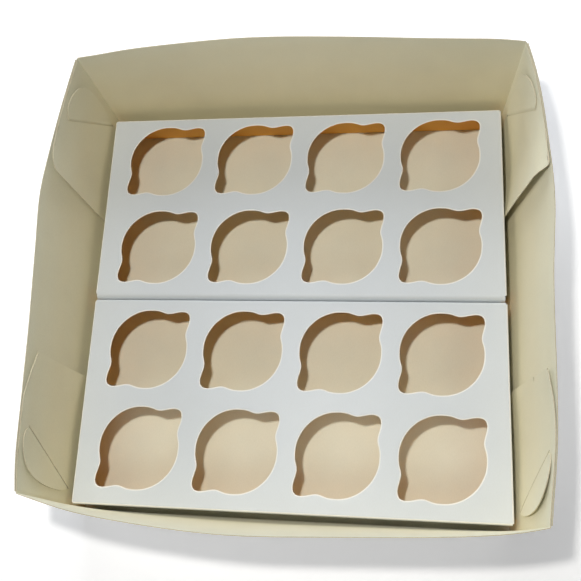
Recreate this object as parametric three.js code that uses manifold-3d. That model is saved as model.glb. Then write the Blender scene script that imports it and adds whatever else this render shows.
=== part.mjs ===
// Open cupcake box: a square tray folded from one sheet of card, with two
// identical folded insert cards standing in it. Millimetres, +Z up.
// Origin: the middle of the tray floor, on its underside. X runs to the right
// along the near wall, Y runs from the near wall to the far wall.
//
// The tray is one sheet. Its far and near walls carry the four corner flaps,
// which fold round the corners and lie against the inside of the left and right
// walls. Each flap has a straight slit. A half-moon tab cut in the side wall comes
// through that slit and lies on the flap, so each side wall has a half-moon
// opening behind it.
import * as THREE from 'three';
import { mergeVertices } from 'three/addons/utils/BufferGeometryUtils.js';
import Module from 'manifold-3d';

// ---- driving dimensions ----------------------------------------------------
const TRAY_X = 335;          // tray floor, fold to fold, left to right
const TRAY_Y = 335;          // tray floor, fold to fold, near to far
const WALL_H = 110;          // wall panel, from the floor fold to the rim
const TRAY_T = 0.6;          // tray card
const GAP = 0.3;             // air between two layers of card

// Rim of each wall seen from above: the walls lean out and bow between corners.
// Side walls as [y, x], far and near walls as [x, y].
const CORNER_FL = [-172.3, 178.5], CORNER_FR = [175.2, 176.7];
const CORNER_NR = [178.2, -161.1], CORNER_NL = [-172.2, -156.9];
const RIM_LEFT = [[-156.9, -172.2], [-135.5, -175.2], [-111.5, -176.7], [-85.5, -177.8], [-51.5, -179.6], [-8.5, -182.3],
  [30.5, -184.6], [65.5, -186.7], [100.5, -183.8], [140.5, -178.5], [162.5, -175.0], [178.5, -172.3]];
const RIM_RIGHT = [[-161.1, 178.2], [-148.5, 179.5], [-127.5, 182.0], [-104.5, 184.0], [-67.5, 184.9], [-27.5, 185.6],
  [13.5, 187.2], [53.5, 189.2], [93.5, 187.3], [130.5, 184.0], [159.5, 179.3], [176.7, 175.2]];
const RIM_FAR = [[-172.3, 178.5], [-155.5, 180.8], [-133, 184.5], [-99, 188.1], [-37, 191.7], [12, 190.3],
  [66, 186.5], [107, 183.1], [138, 181.1], [158, 179.5], [175.2, 176.7]];
const RIM_NEAR = [[-172.2, -156.9], [-155, -161.4], [-135, -166.2], [-105, -170.6], [-66, -174.1], [-20, -176.3],
  [26, -175.0], [78, -172.2], [121, -169.6], [146, -167.3], [163, -164.7], [178.2, -161.1]];

// Corner flap, as [distance from the corner, height up the wall]
const FLAP = [[0, 1.5], [95.5, 1.5], [97.5, 3.5], [97.5, 98], [96.2, 101.6], [92.5, 104.2], [84, 106.8], [72, 109.0], [0, 109.2]];
const FLAP_FLAT = 52;        // the flap lies flat against the wall up to here
// How far the free end of each flap stands off its wall: at the floor side and at the rim
const FLAP_CURL = { FL: [0.6, 7.0], FR: [6.4, 6.6], NL: [1.4, 3.4], NR: [1.8, 1.2] };

// Lock tab: its hinge is the chord from TAB_A to TAB_B, its arc bulges to the corner
const TAB_A = [47.5, 97.0], TAB_B = [13.5, 34.0];
const TAB_ARC = [[47.5, 97.0], [43.5, 103.0], [36, 105.2], [26.5, 103.8], [18, 98.5], [12.6, 89],
  [9.6, 76], [8.6, 62], [9.0, 49], [10.6, 39.5], [13.5, 34.0]];
const TAB_RAMP = 2.2;        // length over which the tab passes through the slit
const TAB_LIFT = 1.4;        // how far the arc stands up off the flap

const INSERT_X = 330, INSERT_Y = 161.4; // insert, outside of fold to outside of fold
const INSERT_H = 34.3;       // height of the insert, foot to top
const INSERT_T = 0.5;        // insert card
const LEG_SPLAY = 0.6;       // how far the feet of the long legs stand out
const CUP_X = [-115.5, -38.5, 38.5, 115.5], CUP_Y = [-36.6, 41.2];
const CUP_R = 77 * 0.4282;   // mean radius of a cup hole
// The hole is a circle with two round finger notches on one diagonal: its radius
// as a cosine series of twice the angle from that diagonal
const CUP_SERIES = [2.67, 2.27, 1.82, 1.27, 0.78, 0.385, 0.13];
const CUP_DIAGONAL = 43 * Math.PI / 180;
const CUP_POINTS = 44;

const INSERTS = [
  { name: 'insert_far', x: 0.0, y: 82.4 },
  { name: 'insert_near', x: 0.7, y: -82.0 },
];

// ---- solids ----------------------------------------------------------------
const wasm = await Module();
wasm.setup();

function solid(geometry) {
  const g = geometry.clone();
  g.deleteAttribute('normal');
  g.deleteAttribute('uv');
  const m = mergeVertices(g, 1e-5);
  return new wasm.Manifold(new wasm.Mesh({
    numProp: 3,
    vertProperties: new Float32Array(m.attributes.position.array),
    triVerts: new Uint32Array(m.index.array),
  }));
}

function geometryOf(manifold) {
  const mesh = manifold.getMesh();
  const p = new Float32Array(mesh.numVert * 3);
  for (let i = 0; i < mesh.numVert; i++)
    for (let k = 0; k < 3; k++) p[3 * i + k] = mesh.vertProperties[i * mesh.numProp + k];
  const g = new THREE.BufferGeometry();
  g.setAttribute('position', new THREE.BufferAttribute(p, 3));
  g.setIndex(new THREE.BufferAttribute(new Uint32Array(mesh.triVerts), 1));
  const flat = g.toNonIndexed();
  flat.computeVertexNormals();
  return flat;
}

// A closed body from shared points and triangles, turned so that it faces out
function closed(points, triangles) {
  let volume = 0;
  const a = new THREE.Vector3();
  for (const [i, j, k] of triangles) volume += points[i].dot(a.crossVectors(points[j], points[k]));
  const g = new THREE.BufferGeometry();
  g.setAttribute('position', new THREE.Float32BufferAttribute(points.flatMap((p) => [p.x, p.y, p.z]), 3));
  g.setIndex((volume < 0 ? triangles.map(([i, j, k]) => [i, k, j]) : triangles).flat());
  return g;
}

// A sheet of thickness t whose middle surface is at(u, v, off), off being the
// distance from that surface towards the inside of the box
function sheet(us, vs, at, t) {
  const nu = us.length, nv = vs.length, pts = [], tri = [];
  for (const side of [-t / 2, t / 2])
    for (const u of us) for (const v of vs) pts.push(at(u, v, side));
  const id = (s, i, j) => s * nu * nv + i * nv + j;
  const quad = (a, b, c, d) => { tri.push([a, b, c], [a, c, d]); };
  for (let i = 0; i + 1 < nu; i++)
    for (let j = 0; j + 1 < nv; j++) {
      quad(id(0, i, j), id(0, i + 1, j), id(0, i + 1, j + 1), id(0, i, j + 1));
      quad(id(1, i, j), id(1, i, j + 1), id(1, i + 1, j + 1), id(1, i + 1, j));
    }
  for (let i = 0; i + 1 < nu; i++) {
    quad(id(0, i, 0), id(1, i, 0), id(1, i + 1, 0), id(0, i + 1, 0));
    quad(id(0, i, nv - 1), id(0, i + 1, nv - 1), id(1, i + 1, nv - 1), id(1, i, nv - 1));
  }
  for (let j = 0; j + 1 < nv; j++) {
    quad(id(0, 0, j), id(0, 0, j + 1), id(1, 0, j + 1), id(1, 0, j));
    quad(id(0, nu - 1, j), id(1, nu - 1, j), id(1, nu - 1, j + 1), id(0, nu - 1, j + 1));
  }
  return closed(pts, tri);
}

// A die through a curved panel: the outline carried along the panel's normal
function die(outline, at, off0, off1) {
  const shape = new THREE.Shape(outline.map(([x, y]) => new THREE.Vector2(x, y)));
  const ring = shape.getPoints(1);
  if (ring[0].distanceTo(ring[ring.length - 1]) < 1e-9) ring.pop();
  const n = ring.length, pts = [], tri = [];
  for (const off of [off0, off1]) for (const q of ring) pts.push(at(q.x, q.y, off));
  for (const [i, j, k] of THREE.ShapeUtils.triangulateShape(ring, [])) {
    tri.push([i, j, k], [n + i, n + k, n + j]);
  }
  const ccw = THREE.ShapeUtils.area(ring) > 0;
  for (let i = 0; i < n; i++) {
    const j = (i + 1) % n;
    if (ccw) tri.push([i, n + j, j], [i, n + i, n + j]);
    else tri.push([i, j, n + j], [i, n + j, n + i]);
  }
  return closed(pts, tri);
}

const range = (a, b, n) => Array.from({ length: n + 1 }, (_, i) => a + (b - a) * i / n);

// ---- the walls -------------------------------------------------------------
// The rim as a function, from a smooth curve through its points
function rimFunction(points) {
  const curve = new THREE.SplineCurve(points.map(([u, w]) => new THREE.Vector2(u, w)));
  const fine = curve.getPoints(points.length * 24);
  return (u) => {
    let i = 1;
    while (i < fine.length - 1 && fine[i].x < u) i++;
    const a = fine[i - 1], b = fine[i];
    return a.y + (b.y - a.y) * (u - a.x) / (b.x - a.x);
  };
}
const rim = {
  left: rimFunction(RIM_LEFT), right: rimFunction(RIM_RIGHT),
  far: rimFunction(RIM_FAR), near: rimFunction(RIM_NEAR),
};

// A wall is straight from its fold to its rim. s runs from -1 to 1 along the fold.
function wallPoint(wall, s, h) {
  const base = new THREE.Vector3(), top = new THREE.Vector2();
  if (wall === 'left' || wall === 'right') {
    const [near, far] = wall === 'left' ? [CORNER_NL[1], CORNER_FL[1]] : [CORNER_NR[1], CORNER_FR[1]];
    const y = near + (far - near) * (s + 1) / 2;
    base.set((wall === 'left' ? -1 : 1) * TRAY_X / 2, s * TRAY_Y / 2, TRAY_T / 2);
    top.set(rim[wall](y), y);
  } else {
    const [l, r] = wall === 'far' ? [CORNER_FL[0], CORNER_FR[0]] : [CORNER_NL[0], CORNER_NR[0]];
    const x = l + (r - l) * (s + 1) / 2;
    base.set(s * TRAY_X / 2, (wall === 'far' ? 1 : -1) * TRAY_Y / 2, TRAY_T / 2);
    top.set(x, rim[wall](x));
  }
  const dx = top.x - base.x, dy = top.y - base.y;
  const dz = Math.sqrt(WALL_H * WALL_H - dx * dx - dy * dy);
  return base.addScaledVector(new THREE.Vector3(dx, dy, dz), h / WALL_H);
}

// The same, moved off towards the inside of the box
function wallAt(wall, s, h, off) {
  const p = wallPoint(wall, s, h);
  const along = wallPoint(wall, s + 0.01, h).sub(wallPoint(wall, s - 0.01, h));
  const up = wallPoint(wall, s, h + 1).sub(wallPoint(wall, s, h - 1));
  const n = along.cross(up).normalize();
  if (n.dot(new THREE.Vector3(0, 0, p.z).sub(p)) < 0) n.negate();
  return p.addScaledVector(n, off);
}

const flapS = (end, dist) => end * (1 - dist / (TRAY_Y / 2));
const endStep = (TRAY_T + GAP) / (TRAY_X / 2);
// The side walls and their flaps share these grid lines, so that the two layers
// stay parallel all over
const GRID_D = [0, 9, 18, 27, 36, 45, FLAP_FLAT, 64, 76, 88, 99];
const GRID_H = [0.5, 34, 72, 110];

let tray = solid(new THREE.BoxGeometry(TRAY_X, TRAY_Y, TRAY_T).translate(0, 0, TRAY_T / 2));
for (const wall of ['far', 'near'])
  tray = tray.add(solid(sheet(range(-1 + endStep, 1 - endStep, 16), [0, WALL_H], (s, h, off) => wallAt(wall, s, h, off), TRAY_T)));

// distance from the hinge chord of a tab, positive towards the corner
const chord = new THREE.Vector2(TAB_B[0] - TAB_A[0], TAB_B[1] - TAB_A[1]);
const chordLength = chord.length();
chord.normalize();
const toCorner = new THREE.Vector2(chord.y, -chord.x);
const tabDepth = Math.max(...TAB_ARC.map(([d, h]) => (d - TAB_A[0]) * toCorner.x + (h - TAB_A[1]) * toCorner.y));
const onTab = (a, c) => [TAB_A[0] + chord.x * a + toCorner.x * c, TAB_A[1] + chord.y * a + toCorner.y * c];
const arc = new THREE.SplineCurve(TAB_ARC.map(([d, h]) => new THREE.Vector2(d, h))).getPoints(22).map((p) => [p.x, p.y]);
// the tab is a hair smaller than the opening that it leaves
const middle = onTab(chordLength / 2, tabDepth * 0.45);
const shrink = ([d, h]) => {
  const v = new THREE.Vector2(middle[0] - d, middle[1] - h);
  v.setLength(GAP);
  return [d + v.x, h + v.y];
};
const tabOutline = [...arc.map(shrink), onTab(chordLength + 0.2, -0.6), onTab(-0.2, -0.6)];
const slit = [onTab(-1.4, -0.3), onTab(-1.4, TAB_RAMP + 0.5), onTab(chordLength + 1.4, TAB_RAMP + 0.5), onTab(chordLength + 1.4, -0.3)];

for (const wall of ['left', 'right']) {
  const low = GRID_D.map((dist) => flapS(-1, dist)), high = GRID_D.map((dist) => flapS(1, dist)).reverse();
  const between = range(low[low.length - 1], high[0], 6).slice(1, -1);
  let side = solid(sheet([...low, ...between, ...high], [0, ...GRID_H], (s, h, off) => wallAt(wall, s, h, off), TRAY_T));
  const added = [];
  for (const end of [1, -1]) {
    const curl = FLAP_CURL[(end > 0 ? 'F' : 'N') + (wall === 'left' ? 'L' : 'R')];
    const at = (dist, h, off) => wallAt(wall, flapS(end, dist), h, off);
    side = side.subtract(solid(die(arc, at, -5, 5)));
    // corner flap, one layer of card inside the wall, its free end a little proud
    const flapAt = (dist, h, off) => {
      const k = Math.max(0, (dist - FLAP_FLAT) / (97.5 - FLAP_FLAT));
      const lift = (curl[0] * Math.min(1, h / 34) + (curl[1] - curl[0]) * h / WALL_H) * k * k;
      return at(dist, h, TRAY_T + GAP + lift + off);
    };
    const across = end > 0 ? [...GRID_D].reverse() : GRID_D;
    let flap = solid(sheet(across, GRID_H, flapAt, TRAY_T));
    flap = flap.intersect(solid(die([[-1, 1.5], ...FLAP.slice(1, -1), [-1, 109.2]], at, -8, 24)));
    flap = flap.subtract(solid(die(slit, at, -0.5, 5)));
    // lock tab: hinged on the wall, through the slit, then over the flap
    const tabAt = (a, c, off) => {
      const over = 2 * (TRAY_T + GAP);
      const lift = c <= 0 ? 0 : c < TAB_RAMP ? over * c / TAB_RAMP
        : over + TAB_LIFT * ((c - TAB_RAMP) / (tabDepth - TAB_RAMP)) ** 2;
      const [d, h] = onTab(a, c);
      return at(d, h, lift + off);
    };
    let tab = solid(sheet(range(-3, chordLength + 3, 6), [-0.6, 0, TAB_RAMP, 11, 19, tabDepth + 2], tabAt, TRAY_T - 0.1));
    tab = tab.intersect(solid(die(tabOutline, at, -4, 12)));
    added.push(flap, tab);
  }
  tray = tray.add(side);
  for (const piece of added) tray = tray.add(piece);
}

// ---- the inserts -----------------------------------------------------------
function cupHole(cx, cy) {
  const path = new THREE.Path();
  for (let i = 0; i < CUP_POINTS; i++) {
    // closer steps round the notches, where the outline turns most
    const t = i / CUP_POINTS * 2 * Math.PI;
    const a = t - 0.28 * Math.sin(2 * t);
    let r = CUP_R;
    CUP_SERIES.forEach((c, k) => { r += c * Math.cos(2 * (k + 1) * a); });
    const x = cx + r * Math.cos(a + CUP_DIAGONAL), y = cy + r * Math.sin(a + CUP_DIAGONAL);
    if (i === 0) path.moveTo(x, y); else path.lineTo(x, y);
  }
  path.closePath();
  return path;
}

function insertBody() {
  const hx = INSERT_X / 2, hy = INSERT_Y / 2, t = INSERT_T, e = 0.15;
  const top = new THREE.Shape([[-hx + e, -hy + e], [hx - e, -hy + e], [hx - e, hy - e], [-hx + e, hy - e]]
    .map(([x, y]) => new THREE.Vector2(x, y)));
  for (const x of CUP_X) for (const y of CUP_Y) top.holes.push(cupHole(x, y));
  let body = solid(new THREE.ExtrudeGeometry(top, { depth: t, bevelEnabled: false, steps: 1 }).translate(0, 0, INSERT_H - t));
  // each leg is an upright strip under a fold, short of the corners so that
  // neighbouring legs stay apart
  const fold = INSERT_H - 0.12;
  const leg = (half, out, splay, turn) => {
    const profile = new THREE.Shape([[out, fold], [out - t, fold], [out - t + splay, 0], [out + splay, 0]]
      .map(([x, y]) => new THREE.Vector2(x, y)));
    const g = new THREE.ExtrudeGeometry(profile, { depth: 2 * half, bevelEnabled: false, steps: 1 });
    g.rotateX(Math.PI / 2).translate(0, half, 0).rotateZ(turn);
    return solid(g);
  };
  const long = hx - 1.6, short = hy - 1.6;
  body = body.add(leg(short, hx, 0, 0)).add(leg(short, hx, 0, Math.PI));
  body = body.add(leg(long, hy, LEG_SPLAY, Math.PI / 2)).add(leg(long, hy, LEG_SPLAY, -Math.PI / 2));
  return geometryOf(body);
}

// ---- the scene graph -------------------------------------------------------
const box = new THREE.Group();
box.name = 'cupcake_box';

const trayMesh = new THREE.Mesh(geometryOf(tray), new THREE.MeshStandardMaterial({ color: 0xd9cda6, roughness: 0.78, metalness: 0 }));
trayMesh.name = 'tray';
box.add(trayMesh);

for (const { name, x, y } of INSERTS) {
  const mesh = new THREE.Mesh(insertBody(), new THREE.MeshStandardMaterial({ color: 0xe9ecef, roughness: 0.6, metalness: 0 }));
  mesh.name = name;
  mesh.position.set(x, y, TRAY_T + GAP);
  box.add(mesh);
}

export default box;
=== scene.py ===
import math
import bpy
import bmesh
import numpy as np
from mathutils import Matrix, Vector
from mathutils.geometry import delaunay_2d_cdt


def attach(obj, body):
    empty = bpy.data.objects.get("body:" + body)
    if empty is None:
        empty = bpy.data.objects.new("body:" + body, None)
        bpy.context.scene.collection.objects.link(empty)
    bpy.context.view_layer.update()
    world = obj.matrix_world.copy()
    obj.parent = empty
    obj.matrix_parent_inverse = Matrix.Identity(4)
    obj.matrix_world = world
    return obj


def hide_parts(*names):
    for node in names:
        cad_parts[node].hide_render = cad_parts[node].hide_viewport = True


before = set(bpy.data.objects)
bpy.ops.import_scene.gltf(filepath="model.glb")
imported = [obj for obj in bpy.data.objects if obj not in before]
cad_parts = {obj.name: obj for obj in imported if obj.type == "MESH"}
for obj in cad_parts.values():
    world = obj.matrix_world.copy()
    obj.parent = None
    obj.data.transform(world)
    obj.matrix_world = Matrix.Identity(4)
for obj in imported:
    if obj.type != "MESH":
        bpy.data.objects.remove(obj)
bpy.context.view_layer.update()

# ---------------------------------------------------------------------------
# Dimensions, in millimetres, as in the model; meshes are scaled to metres.
# ---------------------------------------------------------------------------
MM = 0.001
HALF = 167.5          # tray floor, half of its side
WALL_H = 110.0
T = 0.6               # tray card
GAP = 0.3
ZB = 0.3              # middle of the floor card

CORNER = {"FL": (-172.3, 178.5), "FR": (175.2, 176.7), "NR": (178.2, -161.1), "NL": (-172.2, -156.9)}
RIM = {
    "left": [(-156.9, -172.2), (-135.5, -175.2), (-111.5, -176.7), (-85.5, -177.8), (-51.5, -179.6), (-8.5, -182.3),
             (30.5, -184.6), (65.5, -186.7), (100.5, -183.8), (140.5, -178.5), (162.5, -175.0), (178.5, -172.3)],
    "right": [(-161.1, 178.2), (-148.5, 179.5), (-127.5, 182.0), (-104.5, 184.0), (-67.5, 184.9), (-27.5, 185.6),
              (13.5, 187.2), (53.5, 189.2), (93.5, 187.3), (130.5, 184.0), (159.5, 179.3), (176.7, 175.2)],
    "far": [(-172.3, 178.5), (-155.5, 180.8), (-133, 184.5), (-99, 188.1), (-37, 191.7), (12, 190.3),
            (66, 186.5), (107, 183.1), (138, 181.1), (158, 179.5), (175.2, 176.7)],
    "near": [(-172.2, -156.9), (-155, -161.4), (-135, -166.2), (-105, -170.6), (-66, -174.1), (-20, -176.3),
             (26, -175.0), (78, -172.2), (121, -169.6), (146, -167.3), (163, -164.7), (178.2, -161.1)],
}
# Outline of each corner flap from its upper fold end round to its lower free corner,
# as (distance from the corner, height up the wall)
FLAP_RIM = {
    "FL": [(77.0, 109.6), (81.5, 109.2), (86.0, 108.0), (89.5, 106.2), (91.8, 103.8), (92.9, 100.0), (94.3, 84.0), (96.0, 60.0), (97.6, 34.0), (98.0, 3.5)],
    "FR": [(94.0, 109.6), (95.3, 109.3), (95.9, 108.2), (96.4, 105.0), (97.2, 98.0), (97.6, 80.0), (97.8, 50.0), (98.0, 3.5)],
    "NL": [(66.0, 109.4), (72.0, 107.9), (86.0, 103.6), (97.6, 99.4), (99.6, 98.2), (100.3, 96.4), (100.4, 60.0), (100.4, 3.5)],
    "NR": [(70.0, 109.4), (78.0, 108.4), (90.0, 106.0), (96.6, 104.4), (98.2, 103.2), (98.6, 101.0), (99.8, 60.0), (100.2, 3.5)],
}
FLAP_FLAT = 50.0
# How far the free edge of each flap stands off its wall, as (height, stand-off)
FLAP_OFF = {
    "FL": [(0, 1.0), (28, 2.0), (58, 3.4), (84, 4.6), (104, 5.0), (110, 5.0)],
    "FR": [(0, 5.2), (28, 6.4), (60, 6.9), (94, 6.6), (101, 5.2), (106, 2.2), (110, 0.5)],
    "NL": [(0, 2.4), (34, 3.0), (62, 1.5), (98, 1.5), (110, 1.9)],
    "NR": [(0, 1.8), (34, 1.8), (70, 1.3), (98, 2.4), (110, 2.6)],
}
TAB_A, TAB_B = (47.5, 97.0), (13.5, 34.0)
TAB_ARC = [(47.5, 97.0), (43.5, 103.0), (36, 105.2), (26.5, 103.8), (18, 98.5), (12.6, 89),
           (9.6, 76), (8.6, 62), (9.0, 49), (10.6, 39.5), (13.5, 34.0)]
TAB_RAMP = 3.0
TAB_LIFT = {"FL": 2.0, "FR": 2.8, "NL": 0.9, "NR": 2.4}

INSERT_X, INSERT_Y, INSERT_H, INSERT_T = 330.0, 161.4, 34.3, 0.5
CUP_X, CUP_Y = (-115.5, -38.5, 38.5, 115.5), (-36.6, 41.2)
CUP_R = 77 * 0.4282
CUP_SERIES = (2.67, 2.27, 1.82, 1.27, 0.78, 0.385, 0.13)
CUP_DIAGONAL = math.radians(43)


def spline(points):
    """A smooth curve through points: a natural cubic in the first coordinate."""
    x = np.array([p[0] for p in points], float)
    y = np.array([p[1] for p in points], float)
    n = len(x)
    h = np.diff(x)
    a = np.zeros((n, n))
    r = np.zeros(n)
    a[0, 0] = a[-1, -1] = 1
    for i in range(1, n - 1):
        a[i, i - 1], a[i, i], a[i, i + 1] = h[i - 1], 2 * (h[i - 1] + h[i]), h[i]
        r[i] = 6 * ((y[i + 1] - y[i]) / h[i] - (y[i] - y[i - 1]) / h[i - 1])
    m = np.linalg.solve(a, r)

    def f(u):
        i = int(np.clip(np.searchsorted(x, u) - 1, 0, n - 2))
        d = h[i]
        s, t = (x[i + 1] - u), (u - x[i])
        return (m[i] * s ** 3 + m[i + 1] * t ** 3) / (6 * d) + (y[i] / d - m[i] * d / 6) * s + (y[i + 1] / d - m[i + 1] * d / 6) * t
    return f


RIM_AT = {k: spline(v) for k, v in RIM.items()}


def wall_point(wall, s, h):
    if wall in ("left", "right"):
        c0, c1 = (CORNER["NL"][1], CORNER["FL"][1]) if wall == "left" else (CORNER["NR"][1], CORNER["FR"][1])
        y = c0 + (c1 - c0) * (s + 1) / 2
        b = np.array([(-1 if wall == "left" else 1) * HALF, s * HALF, ZB])
        top = np.array([RIM_AT[wall](y), y])
    else:
        c0, c1 = (CORNER["FL"][0], CORNER["FR"][0]) if wall == "far" else (CORNER["NL"][0], CORNER["NR"][0])
        x = c0 + (c1 - c0) * (s + 1) / 2
        b = np.array([s * HALF, (1 if wall == "far" else -1) * HALF, ZB])
        top = np.array([x, RIM_AT[wall](x)])
    d = top - b[:2]
    z = math.sqrt(WALL_H ** 2 - d @ d)
    return b + np.array([d[0], d[1], z]) * (h / WALL_H)


def wall_normal(wall, s, h):
    """Unit normal pointing into the box."""
    u = wall_point(wall, s + 0.01, h) - wall_point(wall, s - 0.01, h)
    v = wall_point(wall, s, h + 1) - wall_point(wall, s, h - 1)
    n = np.cross(u, v)
    n /= np.linalg.norm(n)
    p = wall_point(wall, s, h)
    return -n if n @ (np.array([0, 0, p[2]]) - p) < 0 else n


def wall_at(wall, s, h, off=0.0):
    return wall_point(wall, s, h) + wall_normal(wall, s, h) * off


# ---------------------------------------------------------------------------
# Mesh building
# ---------------------------------------------------------------------------
def smooth_curve(points, per=8):
    """Catmull-Rom through the points of a plane curve."""
    p = np.array(points, float)
    q = np.vstack([2 * p[0] - p[1], p, 2 * p[-1] - p[-2]])
    out = []
    for i in range(1, len(q) - 2):
        for k in range(per):
            t = k / per
            out.append(0.5 * ((2 * q[i]) + (-q[i - 1] + q[i + 1]) * t + (2 * q[i - 1] - 5 * q[i] + 4 * q[i + 1] - q[i + 2]) * t * t
                              + (-q[i - 1] + 3 * q[i] - 3 * q[i + 1] + q[i + 2]) * t ** 3))
    out.append(p[-1])
    return np.array(out)


def resample(line, step):
    line = np.array(line, float)
    seg = np.linalg.norm(np.diff(line, axis=0), axis=1)
    total = seg.sum()
    n = max(1, int(round(total / step)))
    at = np.linspace(0, total, n + 1)
    acc = np.concatenate([[0], np.cumsum(seg)])
    out = []
    for a in at:
        i = int(np.clip(np.searchsorted(acc, a) - 1, 0, len(seg) - 1))
        t = 0 if seg[i] == 0 else (a - acc[i]) / seg[i]
        out.append(line[i] + (line[i + 1] - line[i]) * t)
    return np.array(out)


def inside(poly, pts):
    """Which points lie inside a polygon."""
    poly = np.asarray(poly)
    pts = np.asarray(pts)
    res = np.zeros(len(pts), bool)
    j = len(poly) - 1
    for i in range(len(poly)):
        xi, yi = poly[i]
        xj, yj = poly[j]
        cond = ((yi > pts[:, 1]) != (yj > pts[:, 1])) & (pts[:, 0] < (xj - xi) * (pts[:, 1] - yi) / (yj - yi + 1e-30) + xi)
        res ^= cond
        j = i
    return res


def near_line(line, pts, dist):
    """Which points lie closer than dist to a chain of points."""
    line = np.asarray(line)
    pts = np.asarray(pts)
    res = np.zeros(len(pts), bool)
    for a, b in zip(line[:-1], line[1:]):
        d = b - a
        t = np.clip(((pts - a) @ d) / max(d @ d, 1e-12), 0, 1)
        res |= np.linalg.norm(pts - (a + t[:, None] * d), axis=1) < dist
    return res


def fill(outer, holes, grid, step):
    """Triangles of a flat region with holes: its border, kept exactly, and a grid inside it."""
    loops = [np.asarray(outer)] + [np.asarray(h) for h in holes]
    verts, edges = [], []
    for lp in loops:
        k = len(verts)
        verts.extend(lp.tolist())
        edges.extend([(k + i, k + (i + 1) % len(lp)) for i in range(len(lp))])
    g = np.asarray(grid, float)
    keep = inside(outer, g)
    for h in holes:
        keep &= ~inside(h, g)
    for lp in loops:
        keep &= ~near_line(np.vstack([lp, lp[:1]]), g, step * 0.42)
    verts.extend(g[keep].tolist())
    out = delaunay_2d_cdt([Vector(v) for v in verts], edges, [], 0, 1e-6)
    pv = np.array([[v[0], v[1]] for v in out[0]])
    faces = [tuple(f) for f in out[2]]
    c = np.array([pv[list(f)].mean(0) for f in faces])
    ok = inside(outer, c)
    for h in holes:
        ok &= ~inside(h, c)
    faces = [f for f, k in zip(faces, ok) if k]
    area = lambda f: (pv[f[1]][0] - pv[f[0]][0]) * (pv[f[2]][1] - pv[f[0]][1]) - (pv[f[2]][0] - pv[f[0]][0]) * (pv[f[1]][1] - pv[f[0]][1])
    faces = [f for f in faces if abs(area(f)) > 1e-7]
    return pv, faces


class Sheet:
    """The middle surface of one sheet of card, collected panel by panel."""

    def __init__(self):
        self.v, self.f, self.m = [], [], []

    def add(self, points, faces, mat=0):
        k = len(self.v)
        self.v.extend([tuple(p) for p in points])
        self.f.extend([tuple(k + i for i in f) for f in faces])
        self.m.extend([mat] * len(faces))

    def grid(self, rows, mat=0):
        """rows[i][j] are points; neighbours make quads."""
        n, m = len(rows), len(rows[0])
        pts = [p for r in rows for p in r]
        self.add(pts, [(i * m + j, (i + 1) * m + j, (i + 1) * m + j + 1, i * m + j + 1) for i in range(n - 1) for j in range(m - 1)], mat)

    def build(self, name, thickness, materials, inward, merge=0.02):
        me = bpy.data.meshes.new(name)
        me.from_pydata([Vector(p) * MM for p in self.v], [], self.f)
        for m in materials:
            me.materials.append(m)
        me.polygons.foreach_set("material_index", self.m)
        bm = bmesh.new()
        bm.from_mesh(me)
        bmesh.ops.remove_doubles(bm, verts=bm.verts, dist=merge * MM)
        bmesh.ops.dissolve_degenerate(bm, edges=bm.edges, dist=1e-7)
        bmesh.ops.recalc_face_normals(bm, faces=bm.faces)
        bm.normal_update()
        # every face looks into the box (or up, for a card)
        votes = sum((1 if f.normal.dot(inward(f.calc_center_median())) > 0 else -1) * f.calc_area() for f in bm.faces)
        if votes < 0:
            bmesh.ops.reverse_faces(bm, faces=bm.faces)
        bm.to_mesh(me)
        bm.free()
        ob = bpy.data.objects.new(name, me)
        bpy.context.scene.collection.objects.link(ob)
        mod = ob.modifiers.new("card", "SOLIDIFY")
        mod.thickness = thickness * MM
        mod.offset = 0.0
        mod.use_even_offset = True
        mod.use_quality_normals = True
        mod.use_rim = True
        mod.material_offset = 1
        mod.material_offset_rim = 2
        mod.thickness_clamp = 0.0
        dg = bpy.context.evaluated_depsgraph_get()
        done = bpy.data.meshes.new_from_object(ob.evaluated_get(dg))
        ob.modifiers.clear()
        ob.data = done
        done.name = name
        for p in done.polygons:
            p.use_smooth = p.material_index % 3 != 2
        # the cut edge meets both faces sharply
        mi = np.array([p.material_index for p in done.polygons])
        bm = bmesh.new()
        bm.from_mesh(done)
        bm.faces.ensure_lookup_table()
        for e in bm.edges:
            kinds = {mi[f.index] % 3 for f in e.link_faces}
            e.smooth = len(kinds) == 1
        bm.to_mesh(done)
        bm.free()
        return ob


def unit(v):
    v = np.asarray(v, float)
    return v / np.linalg.norm(v)


def arc_between(p0, t0, p1, t1, n):
    """Points of a smooth fold from p0 (leaving along t0) to p1 (arriving along t1)."""
    d = np.linalg.norm(p1 - p0)
    k = 0.55 * d / 1.0
    c0, c1 = p0 + t0 * k * 0.75, p1 - t1 * k * 0.75
    out = []
    for i in range(1, n):
        t = i / n
        out.append((1 - t) ** 3 * p0 + 3 * (1 - t) ** 2 * t * c0 + 3 * (1 - t) * t * t * c1 + t ** 3 * p1)
    return out


# ---------------------------------------------------------------------------
# The tray
# ---------------------------------------------------------------------------
R_FOLD = 0.9
S_END = 1 - 1.1 / HALF


def flap_s(end, dist):
    return end * (1 - dist / HALF)


def axis_points():
    """Grid lines along a side, evenly spaced."""
    a = list(np.linspace(-S_END, S_END, 97))
    return a


tray = Sheet()
S_LINES = axis_points()
FLOOR_IN = HALF - R_FOLD

# the floor, very slightly uneven as card is
def floor_z(x, y):
    e = max(0.0, 1 - (max(abs(x), abs(y)) / FLOOR_IN) ** 4)
    return ZB + 0.10 * e * (0.6 + 0.4 * math.sin(x * 0.021 + 0.7) * math.cos(y * 0.017 - 0.4))


floor_lines = [s * FLOOR_IN / S_END for s in S_LINES]
tray.grid([[(x, y, floor_z(x, y)) for y in floor_lines] for x in floor_lines])

corner_dirs = {}


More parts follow.
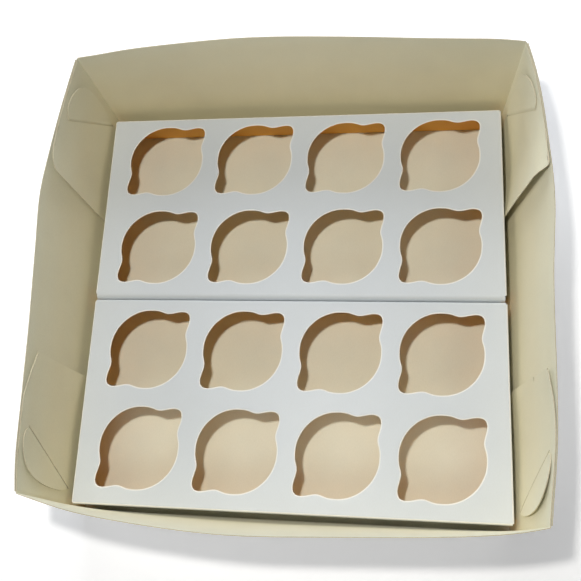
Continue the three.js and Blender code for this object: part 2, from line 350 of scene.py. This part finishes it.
def fold_strip(wall):
    """The fold between the floor and a wall, and the first line of the wall above it."""
    top = []
    rows = []
    for s, q in zip(S_LINES, floor_lines):
        sign = -1 if wall in ("left", "near") else 1
        if wall in ("left", "right"):
            p0 = np.array([sign * FLOOR_IN, q, ZB])
            t0 = np.array([sign, 0, 0], float)
        else:
            p0 = np.array([q, sign * FLOOR_IN, ZB])
            t0 = np.array([0, sign, 0], float)
        p1 = wall_point(wall, s, R_FOLD)
        t1 = unit(wall_point(wall, s, 10) - wall_point(wall, s, 0))
        rows.append([p0] + arc_between(p0, t0, p1, t1, 5) + [p1])
    tray.grid(rows)
    return [r[-1] for r in rows]


H_FAR = [R_FOLD, 1.5] + list(np.linspace(4, 109.2, 28)) + [110.0]
FAR_END = 1 - (0.9 + R_FOLD) / HALF       # where the far and near walls turn into their flaps


def wavy(wall, s, h):
    """Small unevenness of a springy card wall, none along its folds."""
    k = {"left": 0.3, "right": 1.7, "far": 2.9, "near": 4.1}[wall]
    w = min(1, h / 40) * (1 - abs(s) ** 6)
    return 0.35 * w * math.sin(s * 7.3 + k) * math.sin(h * 0.035 + k * 2)


for wall in ("far", "near"):
    fold_strip(wall)
    lines = [s for s in S_LINES]
    rows = []
    for s in lines:
        rows.append([wall_at(wall, s, h, wavy(wall, s, h)) for h in H_FAR])
    tray.grid(rows)

# the chord of a lock tab and the direction from it to the corner
chord = np.array(TAB_B) - np.array(TAB_A)
CHORD = float(np.linalg.norm(chord))
chord /= CHORD
to_corner = np.array([chord[1], -chord[0]])
if (np.array(TAB_ARC[5]) - np.array(TAB_A)) @ to_corner < 0:
    to_corner = -to_corner
arc = smooth_curve(TAB_ARC, 10)
arc = resample(arc, 1.6)
arc[0], arc[-1] = TAB_A, TAB_B
chord_pts = np.array([np.array(TAB_A) + chord * a for a in np.linspace(0, CHORD, 40)])
tab_depth = float(((arc - np.array(TAB_A)) @ to_corner).max())


def tab_c(p):
    return float((np.asarray(p) - np.array(TAB_A)) @ to_corner)


def tab_a(p):
    return float((np.asarray(p) - np.array(TAB_A)) @ chord)


for wall in ("left", "right"):
    base = fold_strip(wall)
    # wall outline in (along, height), millimetres; the lowest line carries the fold's points
    along = [s * HALF for s in S_LINES]
    holes = []
    for end in (1, -1):
        ring = np.vstack([arc, chord_pts[::-1][1:-1]])
        holes.append(np.array([[end * (HALF - d), h] for d, h in ring]))
    e = along[-1]
    side_pts = np.linspace(R_FOLD, WALL_H, 40)
    rim_pts = np.linspace(-e, e, 130)
    outer = [(a, R_FOLD) for a in along] + [(e, h) for h in side_pts[1:-1]] + [(a, WALL_H) for a in rim_pts[::-1]] + [(-e, h) for h in side_pts[::-1][1:-1]]
    gx, gy = np.meshgrid(np.arange(-e + 1.7, e, 3.4), np.arange(3.6, WALL_H - 1, 3.4))
    pv, faces = fill(outer, holes, np.column_stack([gx.ravel(), gy.ravel()]), 3.4)
    tray.add([wall_at(wall, a / HALF, h, 0.0 if min(near_tab for near_tab in [abs(abs(a) - (HALF - 28)) / 28]) < 1.6 else wavy(wall, a / HALF, h) * min(1.0, (abs(abs(a) - (HALF - 28)) / 28 - 1.6) / 0.8)) for a, h in pv], faces)

    for end in (1, -1):
        key = ("F" if end > 0 else "N") + ("L" if wall == "left" else "R")
        stand = FLAP_OFF[key]
        stand_h = [q[0] for q in stand]
        stand_o = [q[1] for q in stand]
        rim_line = smooth_curve(FLAP_RIM[key], 6)

        def flap_at(dist, h, off=0.0):
            k = max(0.0, (dist - FLAP_FLAT) / (98.0 - FLAP_FLAT))
            lift = float(np.interp(h, stand_h, stand_o)) * k ** 1.8
            return wall_at(wall, flap_s(end, dist), h, T + GAP + lift + off)

        # the vertical fold that turns the far or near wall into this flap
        other = "far" if end > 0 else "near"
        sgn = -1 if wall == "left" else 1
        hs = [h for h in H_FAR if h >= 1.5 and h <= 109.3]
        rows = []
        for h in hs:
            p0 = wall_at(other, sgn * S_END, h, wavy(other, sgn * S_END, h))
            t0 = unit(wall_point(other, sgn * (S_END), h) - wall_point(other, sgn * (S_END - 0.05), h))
            p1 = flap_at(2.1, h)
            t1 = unit(np.array(flap_at(6.0, h)) - np.array(flap_at(2.1, h)))
            rows.append([p0] + arc_between(p0, t0, p1, t1, 6) + [p1])
        tray.grid(rows)

        # the flap, with its slit
        slit = []
        a0, a1 = -1.6, CHORD + 1.6
        for a in np.linspace(a0, a1, 44):
            slit.append(np.array(TAB_A) + chord * a + to_corner * 0.55)
        for a in np.linspace(a1, a0, 44):
            w = 2.0 * math.sqrt(max(0.0, 1 - ((a - CHORD / 2) / (CHORD / 2 + 1.6)) ** 10))
            slit.append(np.array(TAB_A) + chord * a + to_corner * (0.55 + max(w, 0.25)))
        outer = [(2.1, h) for h in hs]
        first = FLAP_RIM[key][0]
        outer += [(d, 109.2 + (first[1] - 109.2) * (d - 2.1) / (first[0] - 2.1)) for d in np.linspace(2.1, first[0], 28)[1:-1]]
        outer += [tuple(p) for p in resample(rim_line, 1.7)]
        last = FLAP_RIM[key][-1]
        outer += [(last[0] - 0.5, 2.3), (last[0] - 1.6, 1.7)] + [(d, 1.5) for d in np.linspace(last[0] - 3, 2.1, 34)[:-1]]
        gx, gy = np.meshgrid(np.arange(5, 101, 2.6), np.arange(4, 109, 2.6))
        pv, faces = fill(outer, [slit], np.column_stack([gx.ravel(), gy.ravel()]), 2.6)
        tray.add([flap_at(d, h) for d, h in pv], faces)

        # the lock tab: hinged on the wall's chord, through the slit, over the flap
        lift_end = TAB_LIFT[key]

        def tab_point(p):
            c = tab_c(p)
            over = 2 * (T + GAP) - 0.15
            if c <= 0:
                lift = 0.0
            elif c < TAB_RAMP:
                t = c / TAB_RAMP
                lift = over * t * t * (3 - 2 * t)
            else:
                t = (c - TAB_RAMP) / (tab_depth - TAB_RAMP)
                lift = over + lift_end * t ** 1.6
            return wall_at(wall, flap_s(end, p[0]), p[1], lift)

        ctr = np.array(TAB_A) + chord * CHORD * 0.5 + to_corner * tab_depth * 0.45
        arc_in = np.array([p + unit(ctr - p) * 0.35 for p in arc[1:-1]])
        outer = np.vstack([arc_in, chord_pts[::-1]])
        ga = [np.array(TAB_A) + chord * a + to_corner * c for a in np.arange(1, CHORD, 2.2)
              for c in [0.55, 1.1, 1.65, 2.2, 2.75, 3.3, 4.2, 5.4] + list(np.arange(7, tab_depth, 2.0))]
        pv, faces = fill(outer, [], ga, 0.9)
        tray.add([tab_point(p) for p in pv], faces)


# ---------------------------------------------------------------------------
# Materials
# ---------------------------------------------------------------------------
def card_material(name, base, mottle, fibre, roughness, bump, coat=0.0, light_and_shade_by_height=None, sheen=0.0):
    """Card: a soft cloudy tone, fine short fibres, a faint surface relief."""
    m = bpy.data.materials.new(name)
    m.use_nodes = True
    nt = m.node_tree
    nt.nodes.clear()
    N = nt.nodes.new
    L = nt.links.new
    out = N("ShaderNodeOutputMaterial")
    sh = N("ShaderNodeBsdfPrincipled")
    L(sh.outputs[0], out.inputs[0])
    sh.inputs["Coat Weight"].default_value = coat
    sh.inputs["Coat Roughness"].default_value = 0.35
    sh.inputs["Specular IOR Level"].default_value = 0.35
    sh.inputs["Sheen Weight"].default_value = sheen
    sh.inputs["Sheen Roughness"].default_value = 0.45
    sh.inputs["Sheen Tint"].default_value = (0.93, 1.0, 0.97, 1)
    tc = N("ShaderNodeTexCoord")
    # cloudy tone
    cloud = N("ShaderNodeTexNoise")
    cloud.inputs["Scale"].default_value = 26.0
    cloud.inputs["Detail"].default_value = 2.0
    cloud.inputs["Roughness"].default_value = 0.6
    L(tc.outputs["Object"], cloud.inputs["Vector"])
    # fibres: stretched noise in two directions
    stretch = N("ShaderNodeMapping")
    stretch.inputs["Scale"].default_value = (2600, 620, 1500)
    stretch.inputs["Rotation"].default_value = (0.2, 0.1, 0.5)
    L(tc.outputs["Object"], stretch.inputs["Vector"])
    fib = N("ShaderNodeTexNoise")
    fib.inputs["Scale"].default_value = 1.0
    fib.inputs["Detail"].default_value = 1.0
    L(stretch.outputs[0], fib.inputs["Vector"])

    r1 = N("ShaderNodeValToRGB")
    r1.color_ramp.elements[0].position = 0.32
    r1.color_ramp.elements[1].position = 0.68
    dark = [c * (1 - mottle) for c in base]
    lite = [min(1, c * (1 + mottle)) for c in base]
    r1.color_ramp.elements[0].color = (*dark, 1)
    r1.color_ramp.elements[1].color = (*lite, 1)
    L(cloud.outputs["Fac"], r1.inputs["Fac"])
    r2 = N("ShaderNodeValToRGB")
    r2.color_ramp.elements[0].position = 0.30
    r2.color_ramp.elements[1].position = 0.62
    g = 1 - fibre
    r2.color_ramp.elements[0].color = (g, g * 0.995, g * 0.985, 1)
    r2.color_ramp.elements[1].color = (1, 1, 1, 1)
    L(fib.outputs["Fac"], r2.inputs["Fac"])
    mul = N("ShaderNodeMix")
    mul.data_type = "RGBA"
    mul.blend_type = "MULTIPLY"
    mul.inputs["Factor"].default_value = 1.0
    if light_and_shade_by_height:
        # painted light and shade: the card is painted paler towards the rim, where it catches more light, and warmer
        # and darker low down, where the shade is deep
        sep = N("ShaderNodeSeparateXYZ")
        L(tc.outputs["Object"], sep.inputs[0])
        hgt = N("ShaderNodeMapRange")
        hgt.inputs["From Min"].default_value = 0.0
        hgt.inputs["From Max"].default_value = 0.110
        L(sep.outputs["Z"], hgt.inputs["Value"])
        rh = N("ShaderNodeValToRGB")
        rh.color_ramp.interpolation = "EASE"
        rh.color_ramp.elements[0].position = light_and_shade_by_height[0][0]
        rh.color_ramp.elements[0].color = (*light_and_shade_by_height[0][1], 1)
        rh.color_ramp.elements[1].position = light_and_shade_by_height[-1][0]
        rh.color_ramp.elements[1].color = (*light_and_shade_by_height[-1][1], 1)
        for pos, col in light_and_shade_by_height[1:-1]:
            e = rh.color_ramp.elements.new(pos)
            e.color = (*col, 1)
        L(hgt.outputs[0], rh.inputs["Fac"])
        mh = N("ShaderNodeMix")
        mh.data_type = "RGBA"
        mh.blend_type = "MULTIPLY"
        mh.inputs["Factor"].default_value = 1.0
        L(r1.outputs["Color"], mh.inputs[6])
        L(rh.outputs["Color"], mh.inputs[7])
        L(mh.outputs[2], mul.inputs[6])
    else:
        L(r1.outputs["Color"], mul.inputs[6])
    L(r2.outputs["Color"], mul.inputs[7])
    L(mul.outputs[2], sh.inputs["Base Color"])
    # roughness varies with the fibres
    mr = N("ShaderNodeMapRange")
    mr.inputs["From Min"].default_value = 0.3
    mr.inputs["From Max"].default_value = 0.7
    mr.inputs["To Min"].default_value = roughness - 0.05
    mr.inputs["To Max"].default_value = roughness + 0.06
    L(fib.outputs["Fac"], mr.inputs["Value"])
    L(mr.outputs[0], sh.inputs["Roughness"])
    # relief
    bp = N("ShaderNodeBump")
    bp.inputs["Strength"].default_value = bump
    bp.inputs["Distance"].default_value = 0.0001
    L(fib.outputs["Fac"], bp.inputs["Height"])
    L(bp.outputs[0], sh.inputs["Normal"])
    return m


CREAM = (0.755, 0.755, 0.612)
# the inside face carries painted light and shade by height: paler towards the rim, warmer and darker low on the walls
tray_in = card_material("tray_cream_face", CREAM, 0.020, 0.035, 0.60, 0.35, sheen=0.22,
                        light_and_shade_by_height=[(0.008, (1.0, 0.985, 0.985)), (0.03, (0.99, 0.88, 0.69)), (0.30, (1.0, 0.895, 0.71)),
                                   (0.55, (1.0, 0.915, 0.78)), (0.85, (0.99, 0.94, 0.86)), (1.0, (0.99, 0.965, 0.93))])
tray_out = card_material("tray_white_face", (0.80, 0.80, 0.775), 0.012, 0.02, 0.52, 0.2, coat=0.10)
tray_cut = card_material("tray_cut_edge", (0.64, 0.57, 0.41), 0.06, 0.16, 0.85, 0.8)
ins_top = card_material("insert_white_face", (0.660, 0.695, 0.720), 0.010, 0.018, 0.50, 0.2, coat=0.08)
# painted highlight: this lighter tone on the pressed lip round each hole and on the tight folds stands in for a bright
# highlight line
ins_lip_and_fold_highlight = card_material("insert_lip_and_fold_highlight", (0.860, 0.850, 0.810), 0.012, 0.03, 0.55, 0.2)
# painted shade: the card's underside is cream, but it is tinted deep orange here so that the shade under the card and
# on the inner faces of the legs comes out deep orange-brown
ins_underside_shade_tint = card_material("insert_underside_painted_shade", (0.88, 0.46, 0.09), 0.02, 0.035, 0.75, 0.35)
# the cut edge has the card's cream core colour, painted brighter than the white face as a highlight line along the
# edges of the holes and the card
ins_cut_core_and_highlight = card_material("insert_cut_edge_core_and_highlight", (0.95, 0.88, 0.74), 0.05, 0.14, 0.85, 0.8)

tray_ob = tray.build("tray_card", T, [tray_in, tray_out, tray_cut],
                     lambda c: (Vector((0, 0, 0.2)) - c))


# ---------------------------------------------------------------------------
# The inserts
# ---------------------------------------------------------------------------
def cup_outline(cx, cy, n=120):
    pts = []
    for i in range(n):
        t = i / n * 2 * math.pi
        a = t - 0.28 * math.sin(2 * t)
        r = CUP_R + sum(c * math.cos(2 * (k + 1) * a) for k, c in enumerate(CUP_SERIES))
        pts.append((cx + r * math.cos(a + CUP_DIAGONAL), cy + r * math.sin(a + CUP_DIAGONAL)))
    return np.array(pts)


def make_insert(name, x, y, turn, seed, r_near, r_far, wide_near, wide_far, splay_near, splay_far):
    sh = Sheet()
    t = INSERT_T
    hx, hy = INSERT_X / 2 - t / 2, INSERT_Y / 2 - t / 2
    zt = INSERT_H - t / 2
    r = 1.0             # fold radius of the short sides, middle of the card
    rng = np.random.default_rng(seed)
    ph = rng.uniform(0, 6.28, 4)

    def sag(px, py):
        """The card between the folds is never quite flat."""
        ex, ey = 1 - (px / hx) ** 2, 1 - (py / hy) ** 2
        return -0.45 * ex * ey * (0.7 + 0.3 * math.sin(px * 0.02 + ph[0])) + 0.10 * ex * ey * math.sin(px * 0.045 + ph[1]) * math.sin(py * 0.05 + ph[2])

    hy_near, hy_far = hy + wide_near, hy + wide_far
    ix, iy0, iy1 = hx - r, hy_near - r_near, hy_far - r_far
    xs = np.linspace(-ix, ix, 111)
    ys = np.linspace(-iy0, iy1, 55)
    outer = [(a, -iy0) for a in xs] + [(ix, b) for b in ys[1:-1]] + [(a, iy1) for a in xs[::-1]] + [(-ix, b) for b in ys[::-1][1:-1]]
    cups = [cup_outline(cx, cy) for cx in CUP_X for cy in CUP_Y]
    holes = []
    for c in cups:
        # the die presses a narrow, slightly rounded lip round each hole, painted lighter as a highlight
        d = np.roll(c, -1, 0) - np.roll(c, 1, 0)
        nrm = np.column_stack([d[:, 1], -d[:, 0]]) / np.linalg.norm(d, axis=1)[:, None]
        mid, out = c + nrm * 0.35, c + nrm * 0.8
        holes.append(out)
        n = len(c)
        pts = [(q[0], q[1], zt + sag(q[0], q[1]) - dz) for ring, dz in ((c, 0.16), (mid, 0.04), (out, 0.0)) for q in ring]
        sh.add(pts, [(k * n + i, k * n + (i + 1) % n, (k + 1) * n + (i + 1) % n, (k + 1) * n + i) for k in (0, 1) for i in range(n)], 3)
    gx, gy = np.meshgrid(np.arange(-ix + 1.5, ix, 3.0), np.arange(-iy0 + 1.5, iy1, 3.0))
    pv, faces = fill(outer, holes, np.column_stack([gx.ravel(), gy.ravel()]), 3.0)
    sh.add([(p[0], p[1], zt + sag(p[0], p[1])) for p in pv], faces)
    # folds and legs
    legs = [(-1, "y", splay_near, r_near, hy_near), (1, "y", splay_far, r_far, hy_far), (-1, "x", 0.0, r, hx), (1, "x", 0.0, r, hx)]
    for sign, ax, splay, rr, o1 in legs:
        line = xs if ax == "y" else ys
        half_in = ix if ax == "y" else iy0
        zs = np.linspace(zt - rr, 0.0, 12)
        rows = []
        for q in line:
            def P(o, z):
                # o outwards from the middle, z height
                return np.array([q, sign * o, z]) if ax == "y" else np.array([sign * o, q, z])
            o0 = o1 - rr
            bow = (0.5 if splay else 0.0) * math.sin(q * 0.013 + ph[3]) * max(0.0, 1 - (q / half_in) ** 2)
            row = [P(o0, zt)]
            for k in range(1, 7):
                a = k / 7 * math.pi / 2
                row.append(P(o0 + rr * math.sin(a), zt - rr + rr * math.cos(a)))
            for z in zs:
                f = (zt - rr - z) / (zt - rr)
                row.append(P(o1 + (splay + bow * 0.35) * f, z))
            rows.append(row)
        # legs stop one row short of the corners
        cut = []
        for q, row in zip(line, rows):
            cut.append(row)
        n = len(cut)
        # full rows between the corners; the fold alone runs the whole way
        # tight folds take the lighter lip material, a painted highlight along the fold
        edge = 0 if rr > 1.25 else 3
        sh.grid([row[:4] for row in cut], edge)
        sh.grid([row[3:8] for row in cut])
        sh.grid([row[7:] for row in cut[1:n - 1]])
    ob = sh.build(name, t, [ins_top, ins_underside_shade_tint, ins_cut_core_and_highlight, ins_lip_and_fold_highlight, ins_underside_shade_tint, ins_cut_core_and_highlight], lambda c: Vector((c[0] * 0.4, c[1] * 0.6, 1)))
    m = Matrix.Translation((x * MM, y * MM, (T + GAP) * MM)) @ Matrix.Rotation(turn, 4, "Z")
    ob.data.transform(m)
    return ob


LEG_LONG = 0.6
far_ob = make_insert("insert_far_card", 0.0, 82.3, 0.0026, 11, 4.2, 1.1, 0.9, 0.0, 0.0, LEG_LONG)
near_ob = make_insert("insert_near_card", 0.7, -82.0, 0.0018, 23, 1.2, 1.3, 0.0, 1.2, LEG_LONG, 0.0)

for ob, node, slot in ((tray_ob, "tray", "tray_card"), (far_ob, "insert_far", "insert_card"), (near_ob, "insert_near", "insert_card")):
    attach(ob, "root")
    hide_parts(node)

# ---------------------------------------------------------------------------
# Floor, light, camera
# ---------------------------------------------------------------------------
bpy.ops.mesh.primitive_plane_add(size=8.0, location=(0, 0, -0.0003))
floor = bpy.context.object
floor.name = "studio_floor"
fm = bpy.data.materials.new("studio_floor")
fm.use_nodes = True
fb = fm.node_tree.nodes["Principled BSDF"]
fb.inputs["Base Color"].default_value = (0.93, 0.93, 0.93, 1)
fb.inputs["Roughness"].default_value = 0.9
fb.inputs["Emission Color"].default_value = (1, 1, 1, 1)
fb.inputs["Emission Strength"].default_value = 0.35
floor.data.materials.append(fm)
fm.cycles.emission_sampling = "NONE"

sc = bpy.context.scene
sc.view_settings.view_transform = "Standard"
sc.view_settings.look = "None"
sc.view_settings.exposure = 0.0
sc.view_settings.gamma = 1.0
world = bpy.data.worlds.new("studio")
sc.world = world
world.use_nodes = True
bg = world.node_tree.nodes["Background"]
bg.inputs["Color"].default_value = (1.0, 0.99, 0.97, 1)
bg.inputs["Strength"].default_value = 0.03


def area(name, loc, target, size, energy, color=(1, 1, 1)):
    li = bpy.data.lights.new(name, "AREA")
    li.shape = "DISK"
    li.size = size
    li.energy = energy
    li.color = color
    ob = bpy.data.objects.new(name, li)
    ob.location = loc
    d = Vector(target) - Vector(loc)
    ob.rotation_euler = d.to_track_quat("-Z", "Y").to_euler()
    sc.collection.objects.link(ob)
    return ob


area("key", (-0.030, -0.020, 0.775), (0, 0, 0), 0.050, 3.00, (1.02, 1.0, 0.96))
area("soft_far", (-0.15, 1.44, 0.68), (0, 0, 0.03), 0.9, 15.5, (0.95, 1.0, 1.08))
area("soft_left", (-1.45, 0.0, 0.68), (0, 0, 0.03), 0.9, 5.2, (0.97, 1.0, 1.03))
area("soft_near", (0.0, -1.45, 0.68), (0, 0, 0.03), 0.9, 1.5)
area("soft_right", (1.45, 0.0, 0.68), (0, 0, 0.03), 0.9, 0.6)

R = ((0.98827, 0.048596, -0.144779), (0.007275, -0.961924, -0.27322), (-0.152544, 0.268962, -0.950994))
cam = bpy.data.cameras.new("camera")
cam_ob = bpy.data.objects.new("camera", cam)
sc.collection.objects.link(cam_ob)
mx = Matrix(((R[0][0], -R[1][0], -R[2][0], 0.0904549),
             (R[0][1], -R[1][1], -R[2][1], -0.1544152),
             (R[0][2], -R[1][2], -R[2][2], 0.6105545),
             (0, 0, 0, 1)))
cam_ob.matrix_world = mx
cam.sensor_width = 36.0
cam.sensor_height = 36.0
cam.sensor_fit = "HORIZONTAL"
cam.lens = 760.0 / 581.0 * 36.0
cam.clip_start = 0.01
cam.clip_end = 50
sc.camera = cam_ob

bpy.context.view_layer.update()
